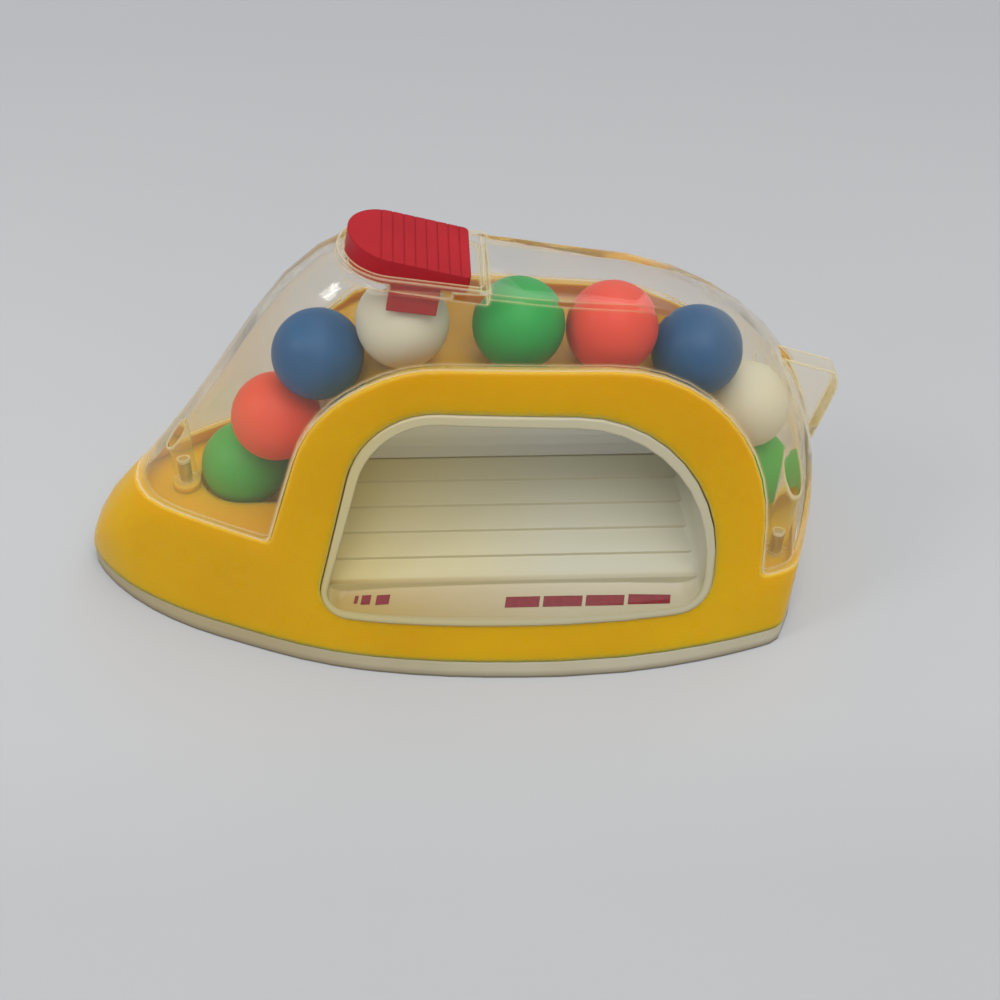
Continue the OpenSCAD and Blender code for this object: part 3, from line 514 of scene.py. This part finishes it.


# Clear hood: one thick moulding of clear plastic that sits on the body's seam and is screwed on
# from below. It has yellowed, so that long ways through it look amber; it is scratched to a haze
# at the nose and the heel, and its sharp edges carry a pale amber painted highlight.
clear = bpy.data.materials.new("hood_clear_plastic")
clear.use_nodes = True
tree = clear.node_tree
tree.nodes.clear()
out = tree.nodes.new("ShaderNodeOutputMaterial")
through = tree.nodes.new("ShaderNodeBsdfGlass")
through.inputs["Color"].default_value = (1.0, 1.0, 1.0, 1)
through.inputs["Roughness"].default_value = 0.0
through.inputs["IOR"].default_value = 1.07
shade_light = tree.nodes.new("ShaderNodeBsdfTransparent")
shade_light.inputs["Color"].default_value = (0.98, 0.97, 0.93, 1)
rays = tree.nodes.new("ShaderNodeLightPath")
skip = tree.nodes.new("ShaderNodeMath")
skip.operation = "MAXIMUM"
open_or_not = tree.nodes.new("ShaderNodeMixShader")
shine = tree.nodes.new("ShaderNodeBsdfGlossy")
shine.inputs["Color"].default_value = (1.0, 1.0, 1.0, 1)
slant = tree.nodes.new("ShaderNodeLayerWeight")
slant.inputs["Blend"].default_value = 0.5
steep = tree.nodes.new("ShaderNodeMath")
steep.operation = "POWER"
steep.inputs[1].default_value = 4.0
shine_share = tree.nodes.new("ShaderNodeMapRange")
shine_share.inputs["To Min"].default_value = 0.035
shine_share.inputs["To Max"].default_value = 0.75
skin = tree.nodes.new("ShaderNodeMixShader")
mist_near = tree.nodes.new("ShaderNodeBsdfDiffuse")
mist_far = tree.nodes.new("ShaderNodeBsdfTranslucent")
haze_and_edge_highlight_tone = tree.nodes.new("ShaderNodeMixRGB")
haze_and_edge_highlight_tone.inputs["Color1"].default_value = (1.0, 0.74, 0.16, 1)
haze_and_edge_highlight_tone.inputs["Color2"].default_value = (1.0, 0.92, 0.70, 1)
mist = tree.nodes.new("ShaderNodeMixShader")
mist.inputs["Fac"].default_value = 0.5
coords = tree.nodes.new("ShaderNodeTexCoord")
wear = tree.nodes.new("ShaderNodeTexNoise")
wear.inputs["Scale"].default_value = 45.0
wear.inputs["Detail"].default_value = 6.0
rubbed = tree.nodes.new("ShaderNodeMapRange")
rubbed.inputs["From Min"].default_value = 0.4
rubbed.inputs["From Max"].default_value = 0.8
rubbed.inputs["To Min"].default_value = 0.03
rubbed.inputs["To Max"].default_value = 0.12
cloudy = tree.nodes.new("ShaderNodeMapRange")
cloudy.inputs["From Min"].default_value = 0.35
cloudy.inputs["From Max"].default_value = 0.75
cloudy.inputs["To Min"].default_value = 0.004
cloudy.inputs["To Max"].default_value = 0.018
round_normal = tree.nodes.new("ShaderNodeBevel")
round_normal.samples = 6
round_normal.inputs["Radius"].default_value = 0.0015
true_normal = tree.nodes.new("ShaderNodeNewGeometry")
agree = tree.nodes.new("ShaderNodeVectorMath")
agree.operation = "DOT_PRODUCT"
# Painted highlight: the sharp edges get a pale amber mist that reads as lit lines.
edge = tree.nodes.new("ShaderNodeMapRange")
edge.inputs["From Min"].default_value = 0.985
edge.inputs["From Max"].default_value = 0.80
edge.inputs["To Min"].default_value = 0.0
edge.inputs["To Max"].default_value = 0.90
place = tree.nodes.new("ShaderNodeSeparateXYZ")
scuffed_nose = tree.nodes.new("ShaderNodeMapRange")
scuffed_nose.inputs["From Min"].default_value = -0.038
scuffed_nose.inputs["From Max"].default_value = -0.076
scuffed_nose.inputs["To Min"].default_value = 0.0
scuffed_nose.inputs["To Max"].default_value = 0.13
scuffed_behind = tree.nodes.new("ShaderNodeMapRange")
scuffed_behind.inputs["From Min"].default_value = -0.015
scuffed_behind.inputs["From Max"].default_value = -0.066
scuffed_behind.inputs["To Min"].default_value = 0.0
scuffed_behind.inputs["To Max"].default_value = 0.20
far_wall = tree.nodes.new("ShaderNodeMapRange")
far_wall.inputs["From Min"].default_value = 0.0
far_wall.inputs["From Max"].default_value = 0.010
more_behind = tree.nodes.new("ShaderNodeMath")
more_behind.operation = "MULTIPLY"
whole_nose = tree.nodes.new("ShaderNodeMath")
whole_nose.operation = "ADD"
scuffed_heel = tree.nodes.new("ShaderNodeMapRange")
scuffed_heel.inputs["From Min"].default_value = 0.058
scuffed_heel.inputs["From Max"].default_value = 0.084
scuffed_heel.inputs["To Min"].default_value = 0.0
scuffed_heel.inputs["To Max"].default_value = 0.09
scuffed_ends = tree.nodes.new("ShaderNodeMath")
scuffed_ends.operation = "ADD"
worn_share = tree.nodes.new("ShaderNodeMath")
worn_share.operation = "ADD"
haze_and_edge_highlight_share = tree.nodes.new("ShaderNodeMath")
haze_and_edge_highlight_share.operation = "ADD"
whole = tree.nodes.new("ShaderNodeMixShader")
absorb = tree.nodes.new("ShaderNodeVolumeAbsorption")
absorb.inputs["Color"].default_value = (0.985, 0.74, 0.20, 1)
absorb.inputs["Density"].default_value = 9.0
tree.links.new(coords.outputs["Object"], wear.inputs["Vector"])
tree.links.new(wear.outputs["Fac"], rubbed.inputs["Value"])
tree.links.new(rubbed.outputs["Result"], shine.inputs["Roughness"])
tree.links.new(wear.outputs["Fac"], cloudy.inputs["Value"])
tree.links.new(rays.outputs["Is Shadow Ray"], skip.inputs[0])
tree.links.new(rays.outputs["Is Diffuse Ray"], skip.inputs[1])
tree.links.new(skip.outputs["Value"], open_or_not.inputs["Fac"])
tree.links.new(shade_light.outputs["BSDF"], open_or_not.inputs[2])
tree.links.new(slant.outputs["Facing"], steep.inputs[0])
tree.links.new(steep.outputs["Value"], shine_share.inputs["Value"])
tree.links.new(shine_share.outputs["Result"], skin.inputs["Fac"])
tree.links.new(through.outputs["BSDF"], skin.inputs[1])
tree.links.new(shine.outputs["BSDF"], skin.inputs[2])
tree.links.new(round_normal.outputs["Normal"], agree.inputs[0])
tree.links.new(true_normal.outputs["Normal"], agree.inputs[1])
tree.links.new(agree.outputs["Value"], edge.inputs["Value"])
tree.links.new(coords.outputs["Object"], place.inputs["Vector"])
tree.links.new(place.outputs["X"], scuffed_nose.inputs["Value"])
tree.links.new(place.outputs["X"], scuffed_heel.inputs["Value"])
tree.links.new(place.outputs["Y"], far_wall.inputs["Value"])
tree.links.new(place.outputs["X"], scuffed_behind.inputs["Value"])
tree.links.new(scuffed_behind.outputs["Result"], more_behind.inputs[0])
tree.links.new(far_wall.outputs["Result"], more_behind.inputs[1])
tree.links.new(scuffed_nose.outputs["Result"], whole_nose.inputs[0])
tree.links.new(more_behind.outputs["Value"], whole_nose.inputs[1])
tree.links.new(whole_nose.outputs["Value"], scuffed_ends.inputs[0])
tree.links.new(scuffed_heel.outputs["Result"], scuffed_ends.inputs[1])
tree.links.new(scuffed_ends.outputs["Value"], worn_share.inputs[0])
tree.links.new(cloudy.outputs["Result"], worn_share.inputs[1])
tree.links.new(edge.outputs["Result"], haze_and_edge_highlight_share.inputs[0])
tree.links.new(edge.outputs["Result"], haze_and_edge_highlight_tone.inputs["Fac"])
tree.links.new(haze_and_edge_highlight_tone.outputs["Color"], mist_near.inputs["Color"])
tree.links.new(haze_and_edge_highlight_tone.outputs["Color"], mist_far.inputs["Color"])
tree.links.new(worn_share.outputs["Value"], haze_and_edge_highlight_share.inputs[1])
tree.links.new(mist_near.outputs["BSDF"], mist.inputs[1])
tree.links.new(mist_far.outputs["BSDF"], mist.inputs[2])
tree.links.new(haze_and_edge_highlight_share.outputs["Value"], whole.inputs["Fac"])
tree.links.new(skin.outputs["Shader"], whole.inputs[1])
tree.links.new(mist.outputs["Shader"], whole.inputs[2])
tree.links.new(whole.outputs["Shader"], open_or_not.inputs[1])
tree.links.new(open_or_not.outputs["Shader"], out.inputs["Surface"])
tree.links.new(absorb.outputs["Volume"], out.inputs["Volume"])
nodes["clear_hood"].data.materials.clear()
nodes["clear_hood"].data.materials.append(clear)


# Thumb slide: a cherry red plastic moulding with ribs for the thumb, snapped into the slots of the
# hood's well by its two legs. Its gloss is uneven from finger grease.
red = bpy.data.materials.new("slide_red_plastic")
red.use_nodes = True
tree = red.node_tree
shader = tree.nodes["Principled BSDF"]
shader.inputs["IOR"].default_value = 1.5
shader.inputs["Specular IOR Level"].default_value = 0.22
shader.inputs["Coat Weight"].default_value = 0.04
shader.inputs["Coat Roughness"].default_value = 0.2
coords = tree.nodes.new("ShaderNodeTexCoord")
patches = tree.nodes.new("ShaderNodeTexNoise")
patches.inputs["Scale"].default_value = 90.0
patches.inputs["Detail"].default_value = 5.0
tone = tree.nodes.new("ShaderNodeValToRGB")
tone.color_ramp.elements[0].position = 0.3
tone.color_ramp.elements[0].color = (0.40, 0.003, 0.010, 1)
tone.color_ramp.elements[1].position = 0.75
tone.color_ramp.elements[1].color = (0.47, 0.006, 0.016, 1)
gloss = tree.nodes.new("ShaderNodeMapRange")
gloss.inputs["To Min"].default_value = 0.32
gloss.inputs["To Max"].default_value = 0.50
soft_edge = tree.nodes.new("ShaderNodeBevel")
soft_edge.samples = 4
soft_edge.inputs["Radius"].default_value = 0.0006
grain = tree.nodes.new("ShaderNodeBump")
grain.inputs["Strength"].default_value = 0.06
grain.inputs["Distance"].default_value = 0.0002
tree.links.new(coords.outputs["Object"], patches.inputs["Vector"])
tree.links.new(patches.outputs["Fac"], tone.inputs["Fac"])
tree.links.new(tone.outputs["Color"], shader.inputs["Base Color"])
tree.links.new(patches.outputs["Fac"], gloss.inputs["Value"])
tree.links.new(gloss.outputs["Result"], shader.inputs["Roughness"])
tree.links.new(patches.outputs["Fac"], grain.inputs["Height"])
tree.links.new(soft_edge.outputs["Normal"], grain.inputs["Normal"])
tree.links.new(grain.outputs["Normal"], shader.inputs["Normal"])
nodes["thumb_slide"].data.materials.clear()
nodes["thumb_slide"].data.materials.append(red)


# Balls: nine smooth moulded balls of plastic in four colours, slightly matt and a little uneven in
# tone. They lie loose on the track under the hood and roll over the handle.
for colour, low, high, names in (
        ("green", (0.006, 0.330, 0.055), (0.012, 0.385, 0.074),
         ("front_green_ball", "middle_green_ball", "rear_green_ball")),
        ("coral", (0.760, 0.055, 0.030), (0.840, 0.080, 0.046),
         ("front_coral_ball", "middle_coral_ball")),
        ("blue", (0.003, 0.080, 0.225), (0.005, 0.104, 0.275),
         ("front_blue_ball", "rear_blue_ball")),
        ("white", (0.660, 0.625, 0.500), (0.715, 0.685, 0.560),
         ("front_white_ball", "rear_white_ball"))):
    paint = bpy.data.materials.new("ball_" + colour + "_plastic")
    paint.use_nodes = True
    tree = paint.node_tree
    shader = tree.nodes["Principled BSDF"]
    shader.inputs["IOR"].default_value = 1.48
    shader.inputs["Specular IOR Level"].default_value = 0.22
    shader.inputs["Subsurface Weight"].default_value = 0.15
    shader.inputs["Subsurface Scale"].default_value = 0.003
    coords = tree.nodes.new("ShaderNodeTexCoord")
    patches = tree.nodes.new("ShaderNodeTexNoise")
    patches.inputs["Scale"].default_value = 60.0
    patches.inputs["Detail"].default_value = 4.0
    tone = tree.nodes.new("ShaderNodeValToRGB")
    tone.color_ramp.elements[0].position = 0.3
    tone.color_ramp.elements[0].color = low + (1,)
    tone.color_ramp.elements[1].position = 0.75
    tone.color_ramp.elements[1].color = high + (1,)
    gloss = tree.nodes.new("ShaderNodeMapRange")
    gloss.inputs["To Min"].default_value = 0.34
    gloss.inputs["To Max"].default_value = 0.55
    grain = tree.nodes.new("ShaderNodeBump")
    grain.inputs["Strength"].default_value = 0.05
    grain.inputs["Distance"].default_value = 0.0002
    tree.links.new(coords.outputs["Object"], patches.inputs["Vector"])
    tree.links.new(patches.outputs["Fac"], tone.inputs["Fac"])
    tree.links.new(tone.outputs["Color"], shader.inputs["Base Color"])
    tree.links.new(patches.outputs["Fac"], gloss.inputs["Value"])
    tree.links.new(gloss.outputs["Result"], shader.inputs["Roughness"])
    tree.links.new(patches.outputs["Fac"], grain.inputs["Height"])
    tree.links.new(grain.outputs["Normal"], shader.inputs["Normal"])
    for name in names:
        nodes[name].data.materials.clear()
        nodes[name].data.materials.append(paint)


# Print on the near liner: dark red dashes in one line along the ledge inside the window, three
# short and four long. The ink is a thin film, printed on the liner, slightly uneven in tone.
ink = bpy.data.materials.new("dash_ink")
ink.use_nodes = True
tree = ink.node_tree
shader = tree.nodes["Principled BSDF"]
shader.inputs["Specular IOR Level"].default_value = 0.4
coords = tree.nodes.new("ShaderNodeTexCoord")
patches = tree.nodes.new("ShaderNodeTexNoise")
patches.inputs["Scale"].default_value = 700.0
patches.inputs["Detail"].default_value = 3.0
tone = tree.nodes.new("ShaderNodeValToRGB")
tone.color_ramp.elements[0].position = 0.25
tone.color_ramp.elements[0].color = (0.170, 0.010, 0.015, 1)
tone.color_ramp.elements[1].position = 0.75
tone.color_ramp.elements[1].color = (0.250, 0.022, 0.028, 1)
gloss = tree.nodes.new("ShaderNodeMapRange")
gloss.inputs["To Min"].default_value = 0.35
gloss.inputs["To Max"].default_value = 0.60
tree.links.new(coords.outputs["Object"], patches.inputs["Vector"])
tree.links.new(patches.outputs["Fac"], tone.inputs["Fac"])
tree.links.new(tone.outputs["Color"], shader.inputs["Base Color"])
tree.links.new(patches.outputs["Fac"], gloss.inputs["Value"])
tree.links.new(gloss.outputs["Result"], shader.inputs["Roughness"])
ledge = BVHTree.FromObject(nodes["near_tunnel_liner"], bpy.context.evaluated_depsgraph_get())
dash_mesh = bmesh.new()
above_ledge_mm, slant_mm, ink_height = 28.0, 0.5, 0.00005
columns, rows = 10, 4
for start, end, middle, wide in (  # in millimetres along and across the iron
        (-24.9, -24.0, -34.3, 1.9),
        (-23.2, -20.9, -34.5, 2.3),
        (-19.6, -16.3, -34.7, 2.3),
        (12.0, 20.4, -36.5, 2.6),
        (21.3, 30.9, -36.5, 2.6),
        (31.8, 41.3, -36.4, 2.6),
        (42.3, 52.8, -36.2, 2.6)):
    grid = []
    for row in range(rows + 1):
        across = middle - wide / 2 + wide * row / rows
        lean = slant_mm * (row / rows - 0.5)
        line = []
        for column in range(columns + 1):
            along = start + (end - start) * column / columns + lean
            above = Vector((along, across, above_ledge_mm)) / 1000
            spot, normal, _, _ = ledge.ray_cast(above, Vector((0, 0, -1)))
            line.append(dash_mesh.verts.new(spot + normal * ink_height))
        grid.append(line)
    for row in range(rows):
        for column in range(columns):
            dash_mesh.faces.new((
                grid[row][column], grid[row][column + 1],
                grid[row + 1][column + 1], grid[row + 1][column]))
dash_data = bpy.data.meshes.new("printed_dashes")
dash_mesh.to_mesh(dash_data)
dash_mesh.free()
dashes = bpy.data.objects.new("printed_dashes", dash_data)
dash_data.materials.append(ink)
scene.collection.objects.link(dashes)
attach(dashes, "iron")


# Screws: seven plain steel screws, turned and a little tarnished. Three hold the hood and four
# hold the sole, all driven from below.
steel = bpy.data.materials.new("screw_steel")
steel.use_nodes = True
tree = steel.node_tree
shader = tree.nodes["Principled BSDF"]
shader.inputs["Metallic"].default_value = 1.0
coords = tree.nodes.new("ShaderNodeTexCoord")
patches = tree.nodes.new("ShaderNodeTexNoise")
patches.inputs["Scale"].default_value = 400.0
patches.inputs["Detail"].default_value = 4.0
tone = tree.nodes.new("ShaderNodeValToRGB")
tone.color_ramp.elements[0].position = 0.3
tone.color_ramp.elements[0].color = (0.36, 0.35, 0.34, 1)
tone.color_ramp.elements[1].position = 0.7
tone.color_ramp.elements[1].color = (0.56, 0.56, 0.55, 1)
gloss = tree.nodes.new("ShaderNodeMapRange")
gloss.inputs["To Min"].default_value = 0.25
gloss.inputs["To Max"].default_value = 0.50
tree.links.new(coords.outputs["Object"], patches.inputs["Vector"])
tree.links.new(patches.outputs["Fac"], tone.inputs["Fac"])
tree.links.new(tone.outputs["Color"], shader.inputs["Base Color"])
tree.links.new(patches.outputs["Fac"], gloss.inputs["Value"])
tree.links.new(gloss.outputs["Result"], shader.inputs["Roughness"])
for name in ("hood_screws", "sole_screws"):
    nodes[name].data.materials.clear()
    nodes[name].data.materials.append(steel)
